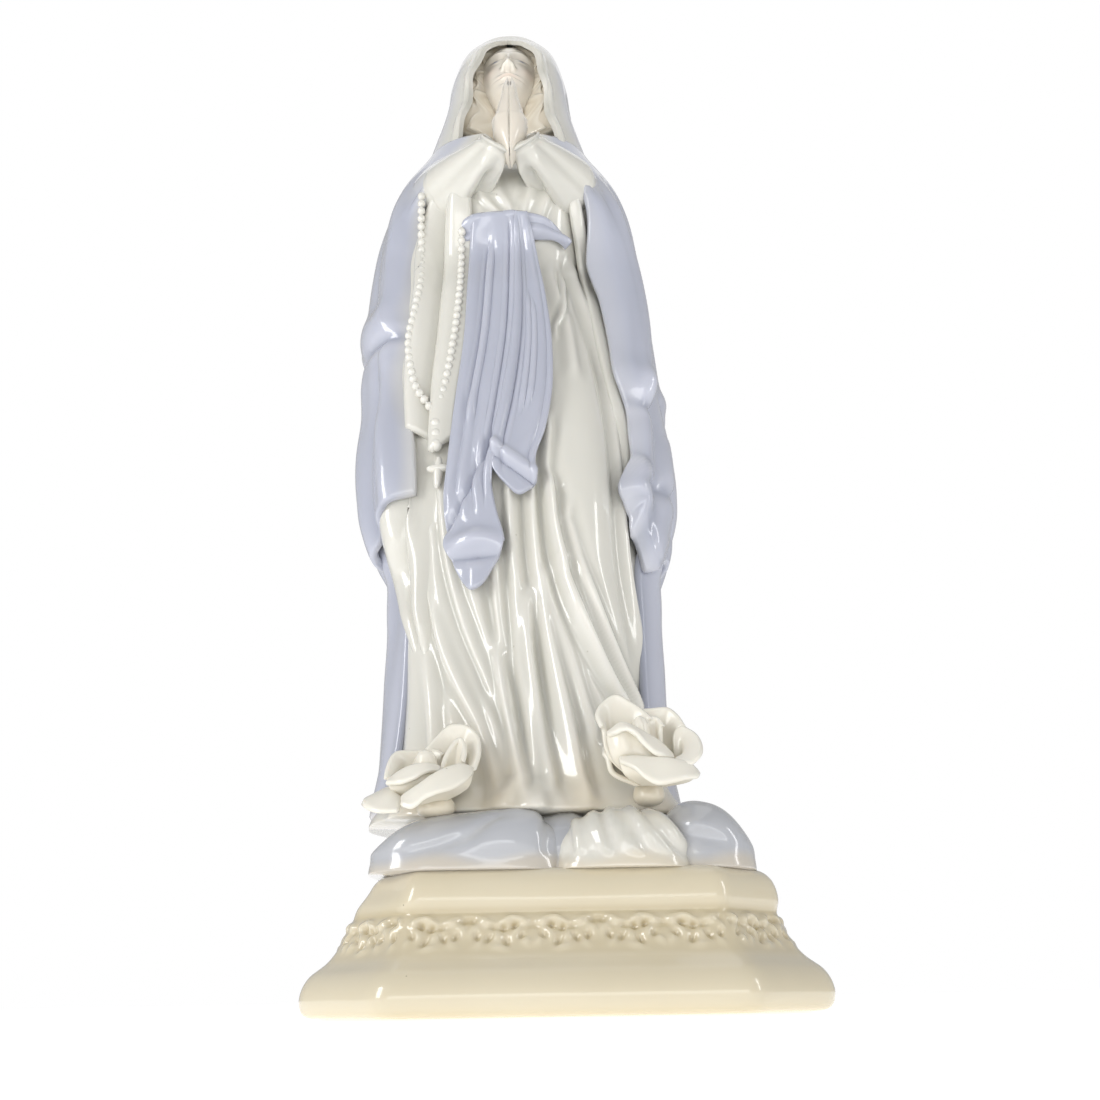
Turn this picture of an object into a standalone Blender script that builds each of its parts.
"""Glazed porcelain statue of a praying Madonna on a moulded plinth, with hand-made roses at her feet.

Units are metres, +Z is up and the statue faces -Y. The origin is the middle of the plinth's underside.
Each casting or hand-built piece of clay is an object of its own. Left and right are the viewer's.
"""

import math

import bmesh
import bpy
import numpy as np
from mathutils import Vector

MM = 0.001

# Driving dimensions, in metres
TOTAL_HEIGHT = 300 * MM
SEAM = 0.4 * MM  # clearance between two pieces that meet face to face
LAYER_SEAM = 0.6 * MM  # clearance between layers of drapery, which curve both ways

PLINTH_WIDTH = 109 * MM
PLINTH_DEPTH = 92 * MM
PLINTH_HEIGHT = 28 * MM
PLINTH_CORNER = 19 * MM  # how far each canted corner runs along both sides
PLINTH_WALL = 4 * MM

MOUND_HEIGHT = 12.5 * MM
MOUND_WIDTH = 83 * MM
MOUND_DEPTH = 64 * MM
DRAIN_WIDTH = 44 * MM  # the oval drain that joins the hollows of plinth, mound and robe
DRAIN_DEPTH = 26 * MM

ROBE_WALL = 3.5 * MM
MANTLE_WALL = 2.6 * MM  # least thickness; at the sides it is filled out to the sleeves
VEIL_WALL = 2.2 * MM
HAIR_WALL = 1.6 * MM
HAIR_GAP = 0.9 * MM  # between head and hair, which taper differently
SLEEVE_DRAPE_WALL = 2.2 * MM
SASH_WALL = 1.6 * MM

HAND_LENGTH = 27 * MM
HAND_WIDTH = 10 * MM
HAND_THICKNESS = 4.6 * MM
FOREARM_ELBOW_RADIUS = 7.2 * MM
FOREARM_WRIST_RADIUS = 5.0 * MM

BEAD_DIAMETER = 2.2 * MM
BEAD_PITCH = 2.6 * MM
PENDANT_BEAD_DIAMETER = 3.4 * MM
PENDANT_BEADS = 4
CRUCIFIX_HEIGHT = 9 * MM
CRUCIFIX_WIDTH = 6 * MM
CRUCIFIX_BAR = 1.6 * MM

PETAL_THICKNESS = 1.5 * MM
ROSE_CORE_RADIUS = 3.0 * MM
ROSE_CORE_HEIGHT = 8.0 * MM

# Levels that follow from the driving dimensions
DECK_LEVEL = PLINTH_HEIGHT
MOUND_BOTTOM = DECK_LEVEL + SEAM
HEM_LEVEL = MOUND_BOTTOM + MOUND_HEIGHT + SEAM
FIGURE_HEIGHT = TOTAL_HEIGHT - HEM_LEVEL

AROUND = 32  # facets round the figure


def level(share):
    """Height above the ground of a point at this share of the figure, from hem 0 to crown 1."""
    return HEM_LEVEL + share * FIGURE_HEIGHT


def through(*stations):
    """Returns a function that joins (share, value) stations with straight runs; values are in mm."""
    shares, values = np.array(stations, float).T
    return lambda share: np.interp(share, shares, values) * MM


def through_degrees(*stations):
    shares, values = np.array(stations, float).T
    return lambda share: np.radians(np.interp(share, shares, values))


# The figure's axis leans a little, and its sections are ovals about it.
axis_x = through((0, -8.8), (0.27, -8.8), (0.43, -11), (0.58, -12.5), (1, -12.5))
axis_y = through((0, 3), (0.75, 3), (0.85, 0.5), (1, 0.5))

robe_side = through(
    (0, 32.0), (0.08, 31.0), (0.2, 30.6), (0.35, 30.6), (0.45, 29.5), (0.55, 26), (0.61, 22),
    (0.66, 24), (0.72, 26.5), (0.76, 25), (0.785, 18), (0.80, 8),
)
robe_front = through(
    (0, 26), (0.15, 25), (0.3, 25), (0.42, 23.5), (0.55, 20.5), (0.61, 18), (0.68, 18.5),
    (0.74, 15), (0.785, 9), (0.80, 5),
)
robe_back = through(
    (0, 27), (0.2, 26), (0.45, 25), (0.61, 19.5), (0.7, 20), (0.76, 15), (0.785, 10), (0.80, 5)
)
mantle_side = through(
    (0, 35.2), (0.13, 34.4), (0.22, 34.8), (0.25, 37), (0.29, 41.4), (0.33, 42.6), (0.45, 42.8),
    (0.56, 42), (0.66, 39.6), (0.70, 37), (0.74, 32.5), (0.78, 27), (0.80, 24),
)
mantle_front = through((0, 29), (0.3, 30), (0.45, 29), (0.6, 26.5), (0.7, 24), (0.8, 18))
mantle_back = through((0, 31), (0.4, 31), (0.6, 29), (0.7, 27), (0.76, 25), (0.8, 21.5))
veil_side = through(
    (0.78, 25.6), (0.80, 24.2), (0.82, 21.2), (0.85, 19.6), (0.90, 18.2), (0.94, 15.8),
    (0.97, 12.6), (0.99, 7.6), (1.0, 0),
)
veil_front = through(
    (0.78, 19.5), (0.82, 18.5), (0.85, 18.5), (0.90, 18.5), (0.94, 18), (0.97, 15), (0.99, 9), (1.0, 0)
)
veil_back = through(
    (0.78, 23), (0.80, 21.9), (0.82, 20.5), (0.85, 19.2), (0.90, 18.8), (0.94, 16.8), (0.97, 12.6), (0.99, 7.6), (1.0, 0)
)
ROBE_ROWS = (0, 0.08, 0.2, 0.3, 0.35, 0.42, 0.45, 0.5, 0.55, 0.58, 0.61, 0.635, 0.66, 0.69, 0.72,
             0.74, 0.76, 0.785, 0.80)
SECTION_POWER = 2.3

mantle_edge_left = through_degrees(
    (0.28, 50), (0.38, 50), (0.43, 53), (0.46, 60), (0.49, 63), (0.52, 56), (0.58, 55),
    (0.63, 62), (0.68, 66), (0.73, 62), (0.77, 52), (0.80, 42),
)
mantle_edge_right = through_degrees(
    (0.25, 64), (0.3, 60), (0.38, 58), (0.45, 54), (0.55, 52), (0.63, 58), (0.68, 64),
    (0.73, 62), (0.77, 52), (0.80, 42),
)


# ---------------------------------------------------------------- building tools


def material(name, colour, roughness):
    made = bpy.data.materials.new(name)
    made.use_nodes = True
    shader = made.node_tree.nodes["Principled BSDF"]
    shader.inputs["Base Color"].default_value = (*colour, 1)
    shader.inputs["Roughness"].default_value = roughness
    shader.inputs["Metallic"].default_value = 0
    shader.inputs["Coat Weight"].default_value = 1
    return made


def add_mesh(name, mesh, finish):
    made = bpy.data.objects.new(name, mesh)
    bpy.context.scene.collection.objects.link(made)
    if finish is None:
        made.hide_render = True
        made.display_type = "WIRE"
    else:
        mesh.materials.append(finish)
        mesh.shade_smooth()
        mesh.set_sharp_from_angle(angle=math.radians(50))
    return made


def face_outwards(build):
    bmesh.ops.recalc_face_normals(build, faces=build.faces)
    if build.calc_volume(signed=True) < 0:
        bmesh.ops.reverse_faces(build, faces=build.faces)


def grid_faces(rows, columns, ring):
    """Quads of a grid of points, row by row. A ring's last column joins its first."""
    faces = []
    for row in range(rows - 1):
        for column in range(columns if ring else columns - 1):
            after = (column + 1) % columns
            faces.append(
                (
                    row * columns + column,
                    row * columns + after,
                    (row + 1) * columns + after,
                    (row + 1) * columns + column,
                )
            )
    return faces


def grid_object(name, points, finish, ring=False, cap_start=False, cap_end=False):
    """An object from a grid of points, shaped (rows, columns, 3), with its ends capped where asked."""
    rows, columns = points.shape[:2]
    build = bmesh.new()
    verts = [build.verts.new(p) for p in points.reshape(-1, 3)]
    for face in grid_faces(rows, columns, ring):
        build.faces.new([verts[i] for i in face])
    if cap_start:
        build.faces.new(verts[:columns])
    if cap_end:
        build.faces.new(verts[-columns:])
    bmesh.ops.remove_doubles(build, verts=build.verts, dist=0.01 * MM)
    bmesh.ops.dissolve_degenerate(build, edges=build.edges, dist=0.01 * MM)
    face_outwards(build)
    mesh = bpy.data.meshes.new(name)
    build.to_mesh(mesh)
    build.free()
    return add_mesh(name, mesh, finish)


def outward(made, centre):
    """Turns an open sheet's faces to point away from centre."""
    build = bmesh.new()
    build.from_mesh(made.data)
    facing = sum(f.calc_area() * f.normal.dot(f.calc_center_median() - centre) for f in build.faces)
    if facing < 0:
        bmesh.ops.reverse_faces(build, faces=build.faces)
    build.to_mesh(made.data)
    build.free()
    return made


def thicken(made, wall, side):
    """A wall of this thickness on the sheet: side is 1 for outwards, -1 for inwards, 0 for both."""
    solid = made.modifiers.new("wall", "SOLIDIFY")
    solid.thickness = wall
    solid.offset = side
    solid.use_even_offset = True
    return made


def cut(made, *cutters):
    for cutter in cutters:
        boolean = made.modifiers.new("cut", "BOOLEAN")
        boolean.operation = "DIFFERENCE"
        boolean.object = cutter
    return made


def section_radius(angle, side, front, back):
    """Distance from the axis to an oval section; angle 0 is the front and positive is to +X."""
    depth = np.where(np.cos(angle) > 0, front, back)
    across = (np.abs(np.sin(angle)) / side) ** SECTION_POWER
    along = (np.abs(np.cos(angle)) / depth) ** SECTION_POWER
    return (across + along) ** (-1 / SECTION_POWER)


def around_figure(angle, share, radius):
    """Points at this distance from the figure's axis."""
    angle, share, radius = np.broadcast_arrays(angle, share, radius)
    x = axis_x(share) + radius * np.sin(angle)
    y = axis_y(share) - radius * np.cos(angle)
    return np.stack([x, y, level(share)], axis=-1)


def figure_middle(share):
    return Vector((float(axis_x(share)), float(axis_y(share)), float(level(share))))


def robe_radius(angle, share):
    return section_radius(angle, robe_side(share), robe_front(share), robe_back(share))


def mantle_radius(angle, share):
    return section_radius(angle, mantle_side(share), mantle_front(share), mantle_back(share))


def on_robe_front(x, share, off):
    """Points on the front of the robe at this x, pushed out by off."""
    x, share, off = np.broadcast_arrays(x, share, off)
    across = x - axis_x(share)
    side = robe_side(share) + off
    depth = robe_front(share) + off
    inside = np.clip(1 - (np.abs(across) / side) ** SECTION_POWER, 0.02, 1)
    y = axis_y(share) - depth * inside ** (1 / SECTION_POWER)
    return np.stack([x, y, level(share)], axis=-1)


# ---------------------------------------------------------------- plinth and rocks


def canted_ring(inset, height):
    """One ring round the plinth: a rectangle with canted, softened corners, inset from the widest."""
    half_x = PLINTH_WIDTH / 2 - inset
    half_y = PLINTH_DEPTH / 2 - inset
    cant = PLINTH_CORNER - inset * (2 - math.sqrt(2))
    soften = 0.22 * cant
    ring = []
    for sx, sy in ((1, -1), (1, 1), (-1, 1), (-1, -1)):
        side_end = (sx * half_x, sy * (half_y - cant))
        front_end = (sx * (half_x - cant), sy * half_y)
        corner = [
            (side_end[0], side_end[1] - sy * soften),
            (side_end[0] - sx * soften * 0.7, side_end[1] + sy * soften * 0.7),
            (front_end[0] + sx * soften * 0.7, front_end[1] - sy * soften * 0.7),
            (front_end[0] - sx * soften, front_end[1]),
        ]
        ring += corner[::-1] if sx * sy < 0 else corner
    return [(x, y, height) for x, y in ring]


def oval_ring(count, half_x, half_y, middle_x, height):
    start = -math.pi / 4 - 3 * math.pi / count
    turn = start + np.linspace(0, 2 * math.pi, count, endpoint=False)
    return [(middle_x + half_x * math.cos(t), half_y * math.sin(t), height) for t in turn]


# Plinth profile from the foot up: (how far inside the widest line, share of the height)
PLINTH_PROFILE = (
    (2.0, 0.0), (0.5, 0.06), (0.0, 0.16), (0.6, 0.27), (2.6, 0.36), (5.4, 0.43), (7.8, 0.52),
    (9.4, 0.62), (10.2, 0.72), (9.4, 0.78), (9.0, 0.88), (9.8, 0.96), (12.0, 1.0),
)


def make_plinth(finish):
    """Hollow casting, open underneath: moulded skin, flat deck with the oval drain, even wall."""
    outer = [canted_ring(inset * MM, share * PLINTH_HEIGHT) for inset, share in PLINTH_PROFILE]
    count = len(outer[0])
    drain = oval_ring(count, DRAIN_WIDTH / 2, DRAIN_DEPTH / 2, float(axis_x(0)), DECK_LEVEL)
    ceiling = DECK_LEVEL - PLINTH_WALL
    drain_below = [(x, y, ceiling) for x, y, _ in drain]
    inner = []
    for inset, share in reversed(PLINTH_PROFILE[:-1:2]):
        height = min(share * PLINTH_HEIGHT, ceiling)
        inner.append(canted_ring(inset * MM + PLINTH_WALL, height))
    rings = np.array(outer + [drain, drain_below] + inner)
    made = grid_object("plinth", np.concatenate([rings, rings[:1]]), finish, ring=True)
    return made


def mound_ring(widen, height):
    turn = np.linspace(0, 2 * math.pi, AROUND, endpoint=False)
    power = 2.6
    half_x = MOUND_WIDTH / 2 + widen
    half_y = MOUND_DEPTH / 2 + widen
    reach = (
        (np.abs(np.cos(turn)) / half_x) ** power + (np.abs(np.sin(turn)) / half_y) ** power
    ) ** (-1 / power)
    return np.stack(
        [reach * np.cos(turn), reach * np.sin(turn), np.full(AROUND, height)], axis=-1
    )


def drain_ring(height):
    turn = np.linspace(0, 2 * math.pi, AROUND, endpoint=False)
    return np.stack(
        [
            float(axis_x(0)) + DRAIN_WIDTH / 2 * np.cos(turn),
            DRAIN_DEPTH / 2 * np.sin(turn),
            np.full(AROUND, height),
        ],
        axis=-1,
    )


def make_mound(finish, cutters):
    top = MOUND_BOTTOM + MOUND_HEIGHT
    rings = [
        mound_ring(0, MOUND_BOTTOM),
        mound_ring(0.6 * MM, MOUND_BOTTOM + 0.35 * MOUND_HEIGHT),
        mound_ring(-1.5 * MM, MOUND_BOTTOM + 0.75 * MOUND_HEIGHT),
        mound_ring(-5 * MM, top),
        drain_ring(top),
        drain_ring(MOUND_BOTTOM),
        mound_ring(0, MOUND_BOTTOM),
    ]
    made = grid_object("rock_mound", np.array(rings), finish, ring=True)
    return cut(made, *cutters)


def boulder(name, finish, middle, radii, margin=0.0):
    """A rounded rock that stands on the deck and ends under the hem."""
    build = bmesh.new()
    bmesh.ops.create_uvsphere(build, u_segments=16, v_segments=10, radius=1)
    low = MOUND_BOTTOM - margin * 6
    high = MOUND_BOTTOM + MOUND_HEIGHT + margin * 6
    for vert in build.verts:
        reach = [radii[k] + margin for k in range(3)]
        x = middle[0] + reach[0] * math.copysign(abs(vert.co.x) ** 0.85, vert.co.x)
        y = middle[1] + reach[1] * math.copysign(abs(vert.co.y) ** 0.85, vert.co.y)
        z = middle[2] + reach[2] * math.copysign(abs(vert.co.z) ** 0.85, vert.co.z)
        vert.co = (x, y, min(max(z, low), high))
    face_outwards(build)
    mesh = bpy.data.meshes.new(name)
    build.to_mesh(mesh)
    build.free()
    return add_mesh(name, mesh, finish)


# ---------------------------------------------------------------- figure


def make_robe(finish):
    """Hollow casting of skirt and bodice, open at the hem and closed at the neck."""
    shares = np.array(ROBE_ROWS)[:, None]
    angles = np.linspace(0, 2 * math.pi, AROUND, endpoint=False)[None, :]
    outer = around_figure(angles, shares, robe_radius(angles, shares))
    inner_shares = np.array([0.755, 0.72, 0.66, 0.61, 0.55, 0.45, 0.35, 0.2, 0.08, 0.0])[:, None]
    hollow = robe_radius(angles, inner_shares) - ROBE_WALL
    inner = around_figure(angles, inner_shares, hollow)
    neck = np.repeat(outer[-1:].mean(axis=1, keepdims=True), AROUND, axis=1)
    ceiling = np.repeat(inner[:1].mean(axis=1, keepdims=True), AROUND, axis=1)
    outer_part = np.concatenate([inner[-1:], outer, neck])
    made = grid_object("robe", np.concatenate([ceiling, inner[:-1], outer_part]), finish, ring=True)
    return made


def robe_envelope(name, margin):
    """The robe's outer shape, grown by margin, for cutting what rests against it."""
    shares = np.array(ROBE_ROWS)[:, None]
    angles = np.linspace(0, 2 * math.pi, AROUND, endpoint=False)[None, :]
    skin = around_figure(angles, shares, robe_radius(angles, shares) + margin)
    skin[0, :, 2] -= margin * 6
    skin[-1, :, 2] += margin
    return grid_object(name, skin, None, ring=True, cap_start=True, cap_end=True)


def drape_hem(angle):
    """Share of the figure's height where the mantle ends: short in front, to the ground behind."""
    turned = np.degrees(np.abs(angle))
    step = np.clip((turned - 72) / 16, 0, 1)
    front = np.where(angle < 0, 0.29, 0.27)
    return front * (1 - step * step * (3 - 2 * step))


def make_mantle(finish, cutters):
    """One sheet from the left front edge round the back to the right front edge."""
    columns, rows = 32, 16
    spread = np.linspace(0, 1, columns)[None, :]
    drop = np.linspace(0, 1, rows)[:, None]
    top = 0.80
    plain = np.radians(50) + spread * np.radians(260)
    signed = np.where(plain > math.pi, plain - 2 * math.pi, plain)
    share = top + (drape_hem(signed) - top) * drop
    right = mantle_edge_right(share)
    left = 2 * math.pi - mantle_edge_left(share)
    angle = right + (left - right) * spread
    radius = mantle_radius(angle, share)
    outside = around_figure(angle, share, radius)
    behind_sleeves = robe_radius(angle, share) + 2 * LAYER_SEAM + SLEEVE_DRAPE_WALL
    inside = around_figure(angle, share, np.minimum(radius - MANTLE_WALL, behind_sleeves))
    return cut(solid_between("mantle", finish, outside, inside), *cutters)


VEIL_LOW = 0.80 + (SEAM + 0.6 * VEIL_WALL) / FIGURE_HEIGHT  # its flared wall reaches a little lower


def veil_low(angle):
    """Share where the veil's lower edge runs: over the brow in front, on the shoulders behind."""
    turned = np.degrees(np.abs(angle))
    step = np.clip((turned - 46) / 22, 0, 1)
    brow = 0.957 - 0.018 * (turned / 46) ** 2
    return brow + (VEIL_LOW - brow) * step * step * (3 - 2 * step)


def make_veil(finish, name="veil", margin=0.0):
    """The veil's shell; a margin makes it thicker on its inner side, as a cutter for what it covers."""
    columns, rows = 32, 10
    angle = np.linspace(-math.pi, math.pi, columns, endpoint=False)[None, :]
    drop = np.sin(np.linspace(0, math.pi / 2, rows))[:, None] ** 1.6
    low = veil_low(angle)
    share = 1.0 + (low - 1.0) * drop
    radius = section_radius(
        angle, veil_side(share) + 1e-6, veil_front(share) + 1e-6, veil_back(share) + 1e-6
    )
    sheet = around_figure(angle, share, radius)
    made = grid_object(name, sheet, finish, ring=True)
    outward(made, figure_middle(0.9))
    return thicken(made, VEIL_WALL + margin, -1)


HEAD_SIDE = 11.0 * MM
HEAD_DEPTH = 13.5 * MM
HEAD_HEIGHT = 37 * MM
HEAD_TOP = 0.965  # share of the figure's height
NECK_RADIUS = 6.0 * MM


def make_head(finish):
    """Head and neck in one: an egg on a short column, with a slight nose."""
    centre_x = float(axis_x(1))
    centre_y = float(axis_y(1))
    top = float(level(HEAD_TOP))
    chin = top - HEAD_HEIGHT
    neck_bottom = float(level(0.80)) + SEAM
    rows = []
    turn = np.linspace(0, 2 * math.pi, 24, endpoint=False)
    for tilt in np.linspace(0.02, math.pi - 0.75, 11):
        height = top - HEAD_HEIGHT / 2 * (1 - math.cos(tilt))
        swell = math.sin(tilt) ** 0.9
        narrow = 1 - 0.16 * max(0.0, (tilt - math.pi / 2))
        rows.append((height, HEAD_SIDE * swell * narrow, HEAD_DEPTH * swell * narrow, 0.0))
    rows.append((chin + 1.5 * MM, NECK_RADIUS + 1.5 * MM, NECK_RADIUS + 3 * MM, 0.6 * MM))
    rows.append((chin - 2 * MM, NECK_RADIUS, NECK_RADIUS, 2.5 * MM))
    rows.append((neck_bottom, NECK_RADIUS * 1.05, NECK_RADIUS, 2.5 * MM))
    rings = []
    for height, side, depth, back in rows:
        x = centre_x + side * np.sin(turn)
        y = centre_y + back - depth * np.cos(turn)
        rings.append(np.stack([x, y, np.full(24, height)], axis=-1))
    return grid_object("head", np.array(rings), finish, ring=True, cap_start=True, cap_end=True)


def make_hair(finish, cutters):
    """A cap of hair over the head, open at the face, kept clear of the veil that covers it."""
    centre_x = float(axis_x(1))
    centre_y = float(axis_y(1))
    grow = HAIR_GAP + HAIR_WALL
    top = float(level(HEAD_TOP)) + grow
    columns, rows = 28, 8
    angle = np.linspace(-math.pi, math.pi, columns, endpoint=False)[None, :]
    turned = np.degrees(np.abs(angle))
    step = np.clip((turned - 30) / 30, 0, 1)
    brow_tilt = math.radians(52) + (math.radians(118) - math.radians(52)) * step * step * (3 - 2 * step)
    tilt = np.linspace(0, 1, rows)[:, None] ** 0.9 * brow_tilt
    swell = np.sin(tilt) ** 0.9
    x = centre_x + (HEAD_SIDE * swell + grow * np.sin(tilt)) * np.sin(angle)
    y = centre_y - (HEAD_DEPTH * swell + grow * np.sin(tilt)) * np.cos(angle)
    z = np.broadcast_to(top - (HEAD_HEIGHT / 2 + grow) * (1 - np.cos(tilt)), x.shape)
    made = grid_object("hair", np.stack([x, y, z], axis=-1), finish, ring=True)
    outward(made, figure_middle(0.9))
    return cut(thicken(made, HAIR_WALL, -1), *cutters)


# The hands meet on a plane just in front of the chest. Shares are of the figure's height.
HANDS_X = -10.7 * MM
HANDS_Y = -32.5 * MM
WRIST_SHARE = 0.683
ELBOWS = {"left": (-34.5 * MM, -13.5 * MM, 0.668), "right": (9.4 * MM, -13.5 * MM, 0.670)}


def tube(name, finish, points, radii, squash=1.0, sides=12, caps=True):
    """A round or flattened tube through points, with a radius at each."""
    points = np.array(points, float)
    rings = []
    for i, point in enumerate(points):
        ahead = points[min(i + 1, len(points) - 1)] - points[max(i - 1, 0)]
        ahead /= np.linalg.norm(ahead)
        sideways = np.cross(ahead, (0, 0, 1.0))
        sideways /= np.linalg.norm(sideways)
        upward = np.cross(sideways, ahead)
        turn = np.linspace(0, 2 * math.pi, sides, endpoint=False)
        ring = (
            point
            + radii[i] * np.cos(turn)[:, None] * sideways
            + squash * radii[i] * np.sin(turn)[:, None] * upward
        )
        rings.append(ring)
    return grid_object(name, np.array(rings), finish, ring=True, cap_start=caps, cap_end=caps)


def make_forearm(name, finish, elbow, side, cutters):
    """The sleeved forearm, from a rounded elbow to the cuff round the wrist."""
    x, y, share = elbow
    start = np.array([x, y, float(level(share))])
    cuff = np.array([HANDS_X + side * 6.3 * MM, HANDS_Y + 2.5 * MM, float(level(WRIST_SHARE))])
    run = cuff - start
    steps = (-0.18, -0.1, 0.08, 0.35, 0.7, 0.92, 1.0)
    swell = (0.5, 0.88, 1.0, 1.08, 1.0, 0.98, 0.85)
    radii = [
        (FOREARM_ELBOW_RADIUS + (FOREARM_WRIST_RADIUS - FOREARM_ELBOW_RADIUS) * max(at, 0)) * wide
        for at, wide in zip(steps, swell)
    ]
    return cut(tube(name, finish, [start + run * at for at in steps], radii), *cutters)


HAND_SHAPE = (  # share of the length, share of the width, share of the thickness
    (0.0, 0.62, 0.8), (0.12, 0.8, 1.0), (0.35, 1.0, 1.0), (0.55, 0.95, 0.8), (0.8, 0.66, 0.6),
    (0.95, 0.42, 0.42), (1.0, 0.2, 0.2),
)


def make_hand(name, finish, side, margin=0.0):
    """One flat hand, fingers up, palm against the other hand; margin grows it for cutting."""
    bottom = float(level(WRIST_SHARE)) - 1.5 * MM
    turn = np.linspace(0, math.pi, 8)
    rings = []
    for share, width, depth in HAND_SHAPE:
        height = bottom + share * HAND_LENGTH + (2 * share - 1) * margin
        lean = HANDS_Y + (0.5 - share) * 1.5 * MM
        out = SEAM / 2 - margin + (HAND_THICKNESS * depth + 2 * margin) * np.sin(turn)
        along = lean + (HAND_WIDTH / 2 * width + margin) * np.cos(turn)
        rings.append(np.stack([HANDS_X + side * out, along, np.full(8, height)], axis=-1))
    return grid_object(name, np.array(rings), finish, ring=True, cap_start=True, cap_end=True)


def solid_between(name, finish, front, behind):
    """The closed solid between two grids of points of the same size."""
    rows, columns = front.shape[:2]
    build = bmesh.new()
    a = [build.verts.new(p) for p in front.reshape(-1, 3)]
    b = [build.verts.new(p) for p in behind.reshape(-1, 3)]
    for corners in grid_faces(rows, columns, False):
        build.faces.new([a[i] for i in corners])
        build.faces.new([b[i] for i in reversed(corners)])
    top = list(range(columns))
    right = [row * columns + columns - 1 for row in range(1, rows)]
    bottom = [(rows - 1) * columns + column for column in range(columns - 2, -1, -1)]
    left = [row * columns for row in range(rows - 2, 0, -1)]
    border = top + right + bottom + left
    for here, after in zip(border, border[1:] + border[:1]):
        build.faces.new([a[here], b[here], b[after], a[after]])
    face_outwards(build)
    mesh = bpy.data.meshes.new(name)
    build.to_mesh(mesh)
    build.free()
    return add_mesh(name, mesh, finish)


def make_sash_tail(name, finish, left, right, low, high, tip, off):
    """A hanging end of the sash on the front of the robe; left and right are its edges in x."""
    down = np.linspace(0, 1, 10)[:, None]
    across = np.linspace(0, 1, 6)[None, :]
    share = high + (low - high) * down - tip * down**3 * (1 - np.abs(2 * across - 1))
    x = left(share) + (right(share) - left(share)) * across
    front = on_robe_front(x, share, off + SASH_WALL)
    return solid_between(name, finish, front, on_robe_front(x, share, off))


def make_wrap(name, finish, start_angle, end_angle, low, high, wall, columns=12, rows=8):
    """A layer of cloth on the robe between two angles, each given as a function of the share."""
    down = np.linspace(0, 1, rows)[:, None]
    across = np.linspace(0, 1, columns)[None, :]
    share = high + (low - high) * down + 0 * across
    angle = start_angle(share) + (end_angle(share) - start_angle(share)) * across
    radius = robe_radius(angle, share) + LAYER_SEAM
    front = around_figure(angle, share, radius + wall)
    return solid_between(name, finish, front, around_figure(angle, share, radius))


def strand_route(stations, off):
    """Points on the layer this far off the robe, through (x in mm, share) stations."""
    x, share = np.array(stations, float).T
    at = np.linspace(0, 1, 25)
    knots = np.linspace(0, 1, len(x))
    return on_robe_front(np.interp(at, knots, x) * MM, np.interp(at, knots, share), off)


def make_strand(name, finish, route, bead, pitch):
    """A string of beads along a route: a curve that swells at each bead and narrows between."""
    lengths = np.concatenate([[0], np.cumsum(np.linalg.norm(np.diff(route, axis=0), axis=1))])
    beads = max(2, round(lengths[-1] / pitch))
    at = np.linspace(0, lengths[-1], 2 * beads + 1)
    points = np.stack([np.interp(at, lengths, route[:, k]) for k in range(3)], axis=1)
    curve = bpy.data.curves.new(name, "CURVE")
    curve.dimensions = "3D"
    curve.bevel_depth = bead / 2
    curve.bevel_resolution = 1
    curve.use_fill_caps = True
    spline = curve.splines.new("POLY")
    spline.points.add(len(points) - 1)
    for i, point in enumerate(points):
        spline.points[i].co = (*point, 1)
        spline.points[i].radius = 1.0 if i % 2 else 0.55
    made = bpy.data.objects.new(name, curve)
    bpy.context.scene.collection.objects.link(made)
    curve.materials.append(finish)
    return made


def make_crucifix(finish, centre):
    """A plain Latin cross that hangs flat against the robe."""
    half = CRUCIFIX_BAR / 2
    top, bottom = CRUCIFIX_HEIGHT * 0.38, -CRUCIFIX_HEIGHT * 0.62
    arm = CRUCIFIX_WIDTH / 2
    outline = (
        (-half, top), (-half, half), (-arm, half), (-arm, -half), (-half, -half), (-half, bottom),
        (half, bottom), (half, -half), (arm, -half), (arm, half), (half, half), (half, top),
    )
    build = bmesh.new()
    verts = [build.verts.new((centre[0] + x, centre[1], centre[2] + z)) for x, z in outline]
    face = build.faces.new(verts)
    grown = bmesh.ops.extrude_face_region(build, geom=[face])
    moved = [v for v in grown["geom"] if isinstance(v, bmesh.types.BMVert)]
    bmesh.ops.translate(build, verts=moved, vec=(0, -CRUCIFIX_BAR, 0))
    face_outwards(build)
    mesh = bpy.data.meshes.new("crucifix")
    build.to_mesh(mesh)
    build.free()
    return add_mesh("crucifix", mesh, finish)


# ---------------------------------------------------------------- roses

ROSE_TILT = math.radians(38)  # how far each rose leans towards the viewer
# Petal layers from the heart out: count, radius at the foot, flare at the lip, length, turn
ROSE_LAYERS = (
    (2, 3.5 * MM, 1.0 * MM, 8.4 * MM, 20),
    (2, 5.5 * MM, 2.0 * MM, 8.0 * MM, 100),
    (3, 7.5 * MM, 4.0 * MM, 6.4 * MM, 45),
)


def on_rose(base, turn, along, radius):
    """Points about a rose's axis, which leans forward from base."""
    turn, along, radius = np.broadcast_arrays(turn, along, radius)
    side = radius * np.cos(turn)
    rise = radius * np.sin(turn)
    lean, stand = math.sin(ROSE_TILT), math.cos(ROSE_TILT)
    return np.stack(
        [
            base[0] + side,
            base[1] + rise * stand - along * lean,
            base[2] + rise * lean + along * stand,
        ],
        axis=-1,
    )


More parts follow.
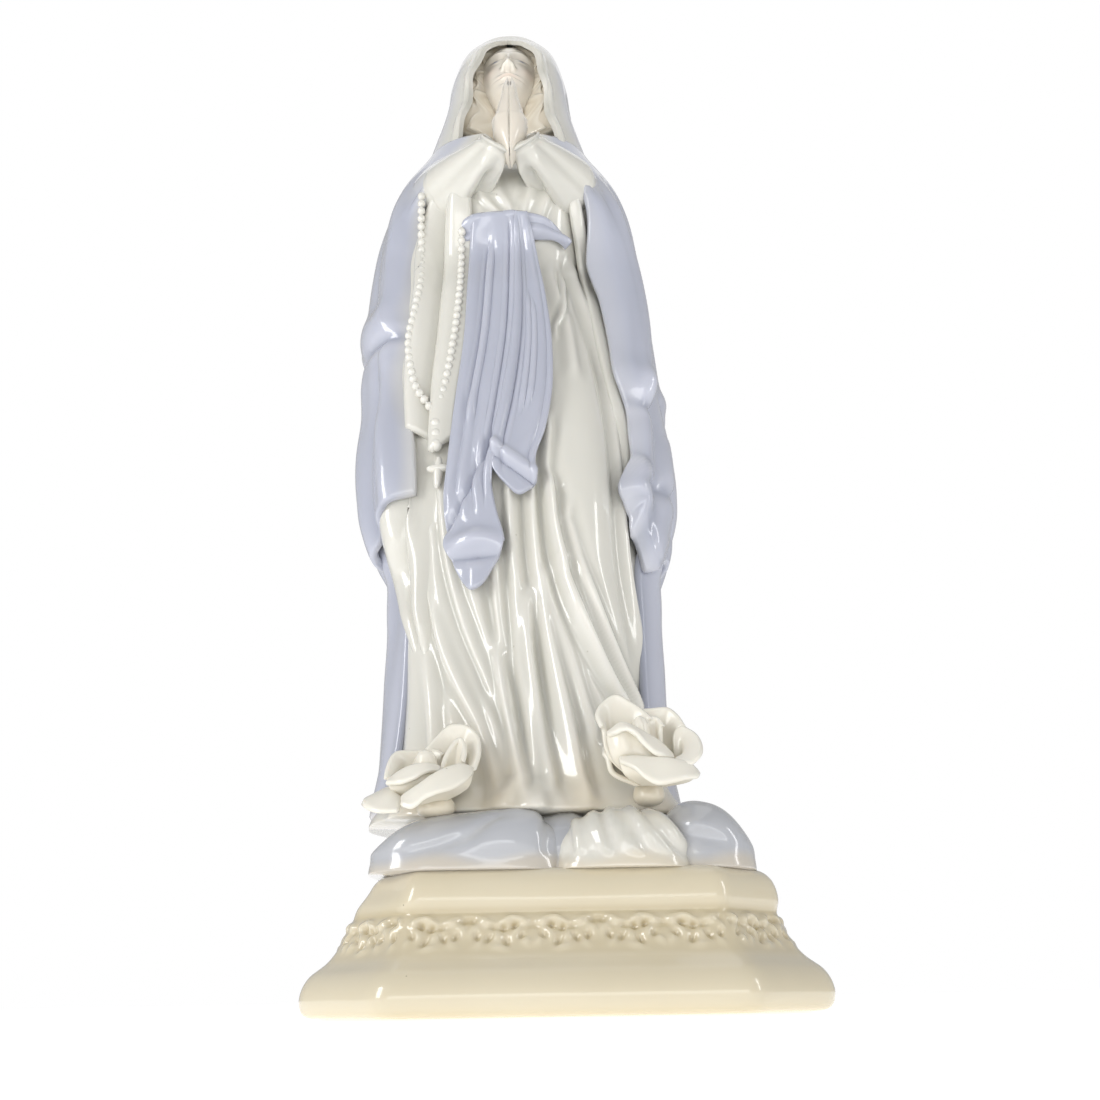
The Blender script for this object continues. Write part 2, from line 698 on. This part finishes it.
def make_petal(name, finish, base, layer, index, cutters):
    """A cupped petal: a sector of its layer's bowl, longer in the middle than at its sides."""
    count, foot, flare, length, first = ROSE_LAYERS[layer]
    span = 2 * math.pi / count - 2 * SEAM / foot
    middle = math.radians(first) + index * 2 * math.pi / count
    across = np.linspace(-1, 1, 7)[None, :]
    up = np.linspace(0, 1, 5)[:, None]
    turn = middle + across * span / 2
    along = length * up * (1 - 0.28 * across**4)
    radius = foot + flare * (along / length) ** 2
    inside = on_rose(base, turn, along, radius)
    outside = on_rose(base, turn, along, radius + PETAL_THICKNESS)
    return cut(solid_between(name, finish, outside, inside), *cutters)


def make_rose_core(name, finish, base):
    """The rolled bud at the heart of a rose."""
    profile = ((0.0, 0.8), (0.3, 1.0), (0.7, 0.95), (0.93, 0.7), (1.0, 0.4))
    turn = np.linspace(0, 2 * math.pi, 12, endpoint=False)
    rings = [
        on_rose(base, turn, share * ROSE_CORE_HEIGHT, wide * ROSE_CORE_RADIUS)
        for share, wide in profile
    ]
    return grid_object(name, np.array(rings), finish, ring=True, cap_start=True, cap_end=True)


def make_rose_seat(name, finish, base, cutters):
    """The pad of clay that a rose is stuck down with."""
    turn = np.linspace(0, 2 * math.pi, 14, endpoint=False)
    widest = ROSE_LAYERS[-1][1]
    rings = [
        on_rose(base, turn, -SEAM, widest),
        on_rose(base, turn, -0.5 * widest, 0.95 * widest),
        on_rose(base, turn, -1.6 * widest, 0.6 * widest),
    ]
    made = grid_object(name, np.array(rings), finish, ring=True, cap_start=True, cap_end=True)
    return cut(made, *cutters)


def ground_cutter():
    """Everything below the figure's hem."""
    bpy.ops.mesh.primitive_cube_add(size=1)
    made = bpy.context.active_object
    made.name = "ground_cutter"
    thick = 60 * MM
    for vert in made.data.vertices:
        vert.co.x *= PLINTH_WIDTH * 2
        vert.co.y *= PLINTH_WIDTH * 2
        vert.co.z = vert.co.z * thick + HEM_LEVEL - thick / 2
    made.hide_render = True
    made.display_type = "WIRE"
    return made


# ---------------------------------------------------------------- assembly


def build_statue():
    beige = material("beige_glaze", (0.70, 0.63, 0.49), 0.2)
    stone = material("grey_blue_glaze", (0.52, 0.57, 0.66), 0.12)
    cream = material("cream_pearl_glaze", (0.78, 0.75, 0.67), 0.22)
    blue = material("pale_blue_pearl_glaze", (0.47, 0.50, 0.66), 0.22)
    skin = material("ivory_porcelain", (0.84, 0.76, 0.68), 0.25)
    brown = material("fawn_glaze", (0.68, 0.61, 0.50), 0.25)
    petal = material("satin_white_porcelain", (0.83, 0.80, 0.74), 0.35)
    pearl = material("bead_glaze", (0.78, 0.75, 0.67), 0.2)

    # Plinth and rocks
    make_plinth(beige)
    swell = 1.12 * MOUND_HEIGHT  # past the hem's level, so that each rock is flat where the robe stands
    boulders = (
        ("rock_left", (-21.5 * MM, -24.8 * MM), (20 * MM, 9.8 * MM, swell)),
        ("rock_centre", (12.3 * MM, -25.5 * MM), (11.8 * MM, 9.5 * MM, swell)),
        ("rock_right", (33.5 * MM, -21 * MM), (8 * MM, 12 * MM, swell)),
    )
    pockets = []
    for name, (x, y), radii in boulders:
        middle = (x, y, MOUND_BOTTOM + 0.3 * MOUND_HEIGHT)
        boulder(name, stone, middle, radii)
        pockets.append(boulder(name + "_pocket", None, middle, radii, margin=SEAM))
    make_mound(stone, pockets)

    # Figure
    robe_cutter = robe_envelope("robe_envelope", LAYER_SEAM)
    sash_cutter = robe_envelope("sash_envelope", LAYER_SEAM + SASH_WALL + SEAM)
    make_robe(cream)
    make_mantle(blue, [robe_cutter])
    make_veil(blue)
    make_head(skin)
    make_hair(brown, [make_veil(None, "veil_envelope", margin=SEAM / 2)])
    for name, side in (("left", -1), ("right", 1)):
        make_hand(name + "_hand", skin, side)
    hand_cutters = [make_hand(f"hand_cutter_{side}", None, side, margin=SEAM) for side in (-1, 1)]
    for name, side in (("left", -1), ("right", 1)):
        make_forearm(name + "_sleeve", cream, ELBOWS[name], side, [sash_cutter, *hand_cutters])
    make_wrap(
        "left_sleeve_drape", cream, through_degrees((0, -62)), through_degrees((0.4, -34), (0.6, -30)),
        low=0.42, high=0.60, wall=SLEEVE_DRAPE_WALL,
    )
    make_wrap(
        "right_sleeve_drape", cream, through_degrees((0, 30)), through_degrees((0, 60)),
        low=0.47, high=0.60, wall=SLEEVE_DRAPE_WALL,
    )

    # Sash and rosary
    make_wrap(
        "sash_waistband", blue, through_degrees((0, -66)), through_degrees((0, 66)),
        low=0.605, high=0.65, wall=SASH_WALL, columns=18, rows=4,
    )
    make_sash_tail(
        "sash_tail_left", blue, through((0.2, -25.5), (0.45, -24), (0.6, -20)),
        through((0.2, -13.5), (0.45, -12), (0.6, -11)), low=0.225, high=0.60, tip=0.02,
        off=LAYER_SEAM,
    )
    make_sash_tail(
        "sash_tail_right", blue, through((0.28, -14.5), (0.45, -12.5), (0.6, -10.5)),
        through((0.28, -3), (0.45, -2), (0.6, -3.5)), low=0.30, high=0.60, tip=0.012,
        off=2 * LAYER_SEAM + SASH_WALL,
    )
    on_drape = LAYER_SEAM + SLEEVE_DRAPE_WALL + SEAM + BEAD_DIAMETER / 2
    make_strand(
        "rosary_outer_strand", pearl,
        strand_route([(-33.6, 0.60), (-34, 0.5), (-31.4, 0.42), (-29.6, 0.395)], on_drape),
        BEAD_DIAMETER, BEAD_PITCH,
    )
    make_strand(
        "rosary_inner_strand", pearl,
        strand_route([(-25, 0.60), (-26, 0.5), (-26.8, 0.42), (-27.4, 0.395)], on_drape),
        BEAD_DIAMETER, BEAD_PITCH,
    )
    drop = strand_route([(-28.6, 0.386), (-28.6, 0.345)], on_drape)
    make_strand(
        "rosary_pendant", pearl, drop, PENDANT_BEAD_DIAMETER,
        float(level(0.386) - level(0.345)) / PENDANT_BEADS,
    )
    centre = drop[-1] - np.array([0, 0, CRUCIFIX_HEIGHT * 0.38 + PENDANT_BEAD_DIAMETER / 2 + SEAM])
    make_crucifix(pearl, centre)

    # Roses
    ground = ground_cutter()
    roses = (
        ("rose_left", (-29 * MM, -26.0 * MM, HEM_LEVEL + 5.6 * MM)),
        ("rose_right", (19.5 * MM, -24.5 * MM, HEM_LEVEL + 9.5 * MM)),
    )
    for name, base in roses:
        make_rose_core(name + "_core", petal, base)
        make_rose_seat(name + "_seat", petal, base, [ground, robe_cutter])
        number = 0
        for layer, (count, *_) in enumerate(ROSE_LAYERS):
            for index in range(count):
                number += 1
                make_petal(f"{name}_petal_{number}", petal, base, layer, index, [ground, robe_cutter])


for old in list(bpy.data.objects):
    bpy.data.objects.remove(old)
build_statue()
